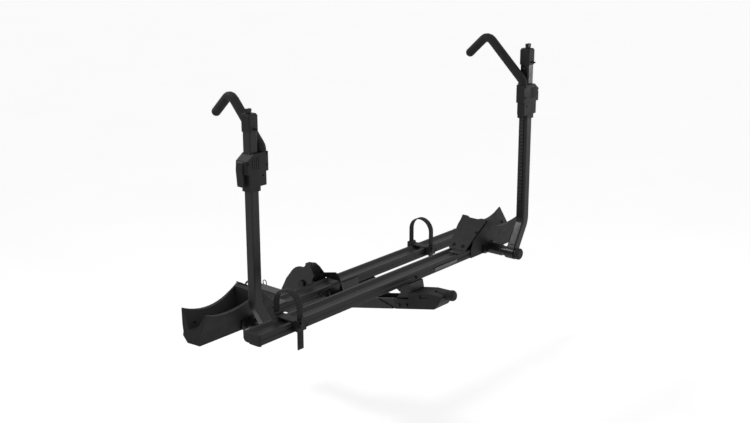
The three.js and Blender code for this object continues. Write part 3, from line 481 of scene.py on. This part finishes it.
def ramp_fittings(side):
    """Two bolts low on the ramp, one at its near edge and one in the cradle's far flank."""
    slope = -RAMP_NORMAL.x / RAMP_NORMAL.z
    for name, radius, height, x, y in RAMP_BOLTS:
        place = (x, y, RAMP_LOW.z + (x - RAMP_LOW.x) * slope)
        fit_to_tray(side, name, button_bolt(radius * MM, height * MM), place, RAMP_NORMAL, "bolt_black_and_painted_shade")
    bolt = button_bolt(4.6 * MM, 3 * MM)
    fit_to_tray(side, "cradle_bolt", bolt, FLANK_BOLT, FLANK_NORMAL, "bolt_black_and_painted_shade")


TRAY_HALF = 33                              # half the tray's width
REARWARD = (0, -1, 0)                       # away from the vehicle


def tray_label(side):
    """Plain plate with no lettering, low on the tray's side."""
    mesh = plate(122 * MM, 11 * MM, 0.5 * MM, 1.5 * MM)
    fit_to_tray(side, "side_label", mesh, (162, -TRAY_HALF, 11.5), REARWARD, "label")


def cap_seam(side):
    """Raised lip across the top of the moulded end cap."""
    low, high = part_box(f"{side}_tray_cap")
    base = tray_matrix(side).inverted()
    tip = min((base @ low).x, (base @ high).x) / MM
    mesh = plate(3.2 * MM, 56 * MM, 0.8 * MM, 1.2 * MM)
    fit_to_tray(side, "cap_lip", mesh, (tip + 5.2, -2, CAP_TOP), (0, 0, 1), "moulding")


def pedestal_bolt():
    """Hexagon bolt through the outer tray's side into the pedestal below it."""
    bolt = hex_bolt(4.4 * MM, 3.4 * MM)
    fit_to_tray("outer", "pedestal_bolt", bolt, (4, -TRAY_HALF, 12), REARWARD, "bolt_black_and_painted_shade")


# ---------------------------------------------------------------- hook arm fittings

def arm_matrix(side):
    """Places an arm's own frame: origin on the fold axis, X outwards, Z up along the tube."""
    fold = Vector(JOINTS[f"{side}_arm_fold"]["pos_m"])
    along = Vector(JOINTS[f"{side}_hook_slide"]["axis"]).normalized()
    outward = Vector((0, 1, 0)).cross(along) * SIDES[side]
    turn = Matrix((outward, Vector((0, 1, 0)), along)).transposed().to_4x4()
    return Matrix.Translation(fold) @ turn


def fit_to_arm(side, name, mesh, place, normal, finish, body="arm"):
    """A fitting on an arm's body, placed by millimetres from the fold axis, along the arm's own axes."""
    matrix = arm_matrix(side) @ facing(Vector(place) * MM, normal)
    return place_piece(f"{side}_{name}", mesh, f"{side}_{body}", finish, matrix)


UPRIGHT = 60                                # the tube's distance outwards from the fold axis
LOBE_FACE = -23.8                           # rear faces of the slider, from the tube's middle
SLIDER_FACE = -25


def slider_fittings(side):
    """Two screws in the lobe on the slider's rear face, and four grip ribs beside them."""
    for name, height in (("upper", 564), ("lower", 529)):
        mesh = button_bolt(3.0 * MM, 2.4 * MM)
        place = (UPRIGHT - 42, LOBE_FACE, height)
        fit_to_arm(side, f"slider_screw_{name}", mesh, place, REARWARD, "bolt_black_and_painted_shade", "slider")
    for i, offset in enumerate((-8, 0, 8, 16)):
        mesh = plate(2.6 * MM, 36 * MM, 1.0 * MM, 1.2 * MM)
        place = (UPRIGHT + offset, SLIDER_FACE, 540)
        fit_to_arm(side, f"slider_rib_{i + 1}", mesh, place, REARWARD, "moulding", "slider")


def cap_stud(side):
    """Small stop pin through the rear of the arm's cap."""
    mesh = bmesh.new()
    shape = [(3.4, 0), (3.4, 1.6), (2.1, 2.2), (2.1, 10), (2.8, 10.6), (2.8, 12.4), (2.2, 13)]
    skin(mesh, [circle(r * MM, h * MM, 16) for r, h in shape])
    fit_to_arm(side, "cap_stud", mesh, (UPRIGHT, -18.2, 640), REARWARD, "bolt_black_and_painted_shade")


WELD_STEPS = 40                             # round the tube
BEAD_SIDES = 8                              # round the bead
WELD_FLAT = 15.4                            # bead's distance from the tube's axis on its flats
WELD_CORNER = 19.5                          # and at its corners


def weld_ring(k):
    """One ring of the bead's skin, at a step round the square tube."""
    a = 2 * math.pi * k / WELD_STEPS
    swell = 1.9 + 0.35 * math.sin(k * 2.4)
    out = Vector((math.cos(a), math.sin(a), 0))
    reach = min(WELD_FLAT / max(abs(out.x), abs(out.y)), WELD_CORNER)
    ring = []
    for i in range(BEAD_SIDES):
        b = 2 * math.pi * i / BEAD_SIDES
        spoke = out * math.cos(b) + Vector((0, 0, 1)) * math.sin(b)
        ring.append((out * reach + spoke * swell) * MM)
    return ring


def arm_weld(side):
    """Rippled weld bead where the arm's tube meets its barrel."""
    mesh = bmesh.new()
    loops = [[mesh.verts.new(point) for point in weld_ring(k)] for k in range(WELD_STEPS)]
    for k, loop in enumerate(loops):
        ahead = loops[(k + 1) % WELD_STEPS]
        for i in range(BEAD_SIDES):
            j = (i + 1) % BEAD_SIDES
            mesh.faces.new((loop[i], loop[j], ahead[j], ahead[i]))
    along = Vector((UPRIGHT, 0, 100)).normalized()
    fit_to_arm(side, "arm_weld", mesh, along * 24, along, "frame_paint")


CLIP_TOP = 22                               # where the clip's legs end and its bow starts
CLIP_BOW = 9                                # radius of the bow


def pin_clip():
    """Spring clip through the hitch pin's far end: a straight leg, a bow and a sprung leg."""
    low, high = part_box("hitch_pin")
    through = Vector((high.x - 8 * MM, (low.y + high.y) / 2, 0))
    wire = [Vector((0, 0, z)) for z in (-15, -8, 0, 8, 15, CLIP_TOP)]
    for k in range(1, 13):
        a = math.radians(-90 + 15 * k)
        wire.append(Vector((0, CLIP_BOW * (1 + math.sin(a)), CLIP_TOP + CLIP_BOW * math.cos(a))))
    for t in (0.25, 0.5, 0.75, 1.0):
        wire.append(Vector((0, 2 * CLIP_BOW - 8 * math.sin(t * math.pi), CLIP_TOP - 40 * t)))
    mesh = tube_along([through + point * MM for point in wire], 1.7 * MM)
    place_piece("hitch_pin_clip", mesh, "hitch_pin", "dark_steel")


finish_cad_nodes()
for side in SIDES:
    wheel_strap(side)
    ramp_fittings(side)
    cap_seam(side)
    slider_fittings(side)
    cap_stud(side)
    arm_weld(side)
tray_label("outer")
pedestal_bolt()
pin_clip()


# ---------------------------------------------------------------- floor, light and camera

FLOOR_Z = -0.42
FLOOR_GLOW = 0.55
FLOOR_BOUNCE = 0.12
DOME_LEFT = 0.28
DOME_RIGHT = 0.62
CAMERA_PLACE = Vector((-2.610, -2.760, 1.3845))
CAMERA_BACK = Vector((-0.7374, -0.6161, 0.2768))
CAMERA_LENS = 52.75


def seen_by_camera(graph, seen, unseen):
    """One value for what the camera sees directly and another for what lights the object."""
    direct = graph.node("LightPath").outputs["Is Camera Ray"]
    return graph.span(direct, 0.0, 1.0, unseen, seen)


def floor_material():
    """Pale matt floor that looks almost white and throws only a little light upwards."""
    g = Graph("floor_paint")
    tone = g.span(g.noise(1.5, 3, 0.5), 0.3, 0.7, 0.97, 1.0)
    level = g.math("MULTIPLY", tone, seen_by_camera(g, 0.9, 0.8))
    colour = g.node("CombineColor", {0: level, 1: level, 2: level}).outputs[0]
    normal = g.bump(g.noise(200, 3, 0.5), 0.03, 0.5 * MM)
    glow = seen_by_camera(g, FLOOR_GLOW, FLOOR_BOUNCE)
    return g.finish(colour, 0.7, normal, Emission_Color=(1, 1, 1, 1), Emission_Strength=glow)


def make_floor():
    mesh = bmesh.new()
    bmesh.ops.create_grid(mesh, x_segments=8, y_segments=8, size=60)
    data = bpy.data.meshes.new("studio_floor")
    mesh.to_mesh(data)
    mesh.free()
    data.materials.append(floor_material())
    floor = bpy.data.objects.new("studio_floor", data)
    floor.location.z = FLOOR_Z
    bpy.context.scene.collection.objects.link(floor)


def area_light(name, place, target, size, power):
    data = bpy.data.lights.new(name, "AREA")
    data.shape = "DISK"
    data.size = size
    data.energy = power
    light = bpy.data.objects.new(name, data)
    light.location = place
    light.rotation_mode = "QUATERNION"
    light.rotation_quaternion = (Vector(place) - Vector(target)).to_track_quat("Z", "Y")
    bpy.context.scene.collection.objects.link(light)


def make_world():
    """White backdrop for the camera, and a softer dome, brighter on the right, for the object."""
    world = bpy.data.worlds.new("studio_world")
    world.use_nodes = True
    tree = world.node_tree
    back = tree.nodes["Background"]
    back.inputs["Color"].default_value = (1.0, 1.0, 1.0, 1.0)
    ray = tree.nodes.new("ShaderNodeLightPath")
    place = tree.nodes.new("ShaderNodeTexCoord")
    split = tree.nodes.new("ShaderNodeSeparateXYZ")
    dome = tree.nodes.new("ShaderNodeMapRange")
    dome.inputs["From Min"].default_value = -1.0
    dome.inputs["To Min"].default_value = DOME_LEFT
    dome.inputs["To Max"].default_value = DOME_RIGHT
    mix = tree.nodes.new("ShaderNodeMix")
    mix.inputs["B"].default_value = 1.0
    tree.links.new(place.outputs["Generated"], split.inputs[0])
    tree.links.new(split.outputs["X"], dome.inputs["Value"])
    tree.links.new(dome.outputs[0], mix.inputs["A"])
    tree.links.new(ray.outputs["Is Camera Ray"], mix.inputs["Factor"])
    tree.links.new(mix.outputs["Result"], back.inputs["Strength"])
    bpy.context.scene.world = world


def make_camera():
    data = bpy.data.cameras.new("camera")
    data.lens = CAMERA_LENS
    data.clip_end = 200
    camera = bpy.data.objects.new("camera", data)
    camera.location = CAMERA_PLACE
    camera.rotation_mode = "QUATERNION"
    camera.rotation_quaternion = CAMERA_BACK.to_track_quat("Z", "Y")
    bpy.context.scene.collection.objects.link(camera)
    bpy.context.scene.camera = camera


def make_studio():
    middle = (cad_box[0] + cad_box[1]) / 2
    make_world()
    make_floor()
    area_light("top_light", (-1.0, 0.5, 1.92), (0.45, -0.85, 0.25), 0.4, 10)
    area_light("right_light", (2.6, -2.4, 0.6), middle, 0.5, 5)
    make_camera()
    bpy.context.scene.view_settings.view_transform = "Standard"


make_studio()
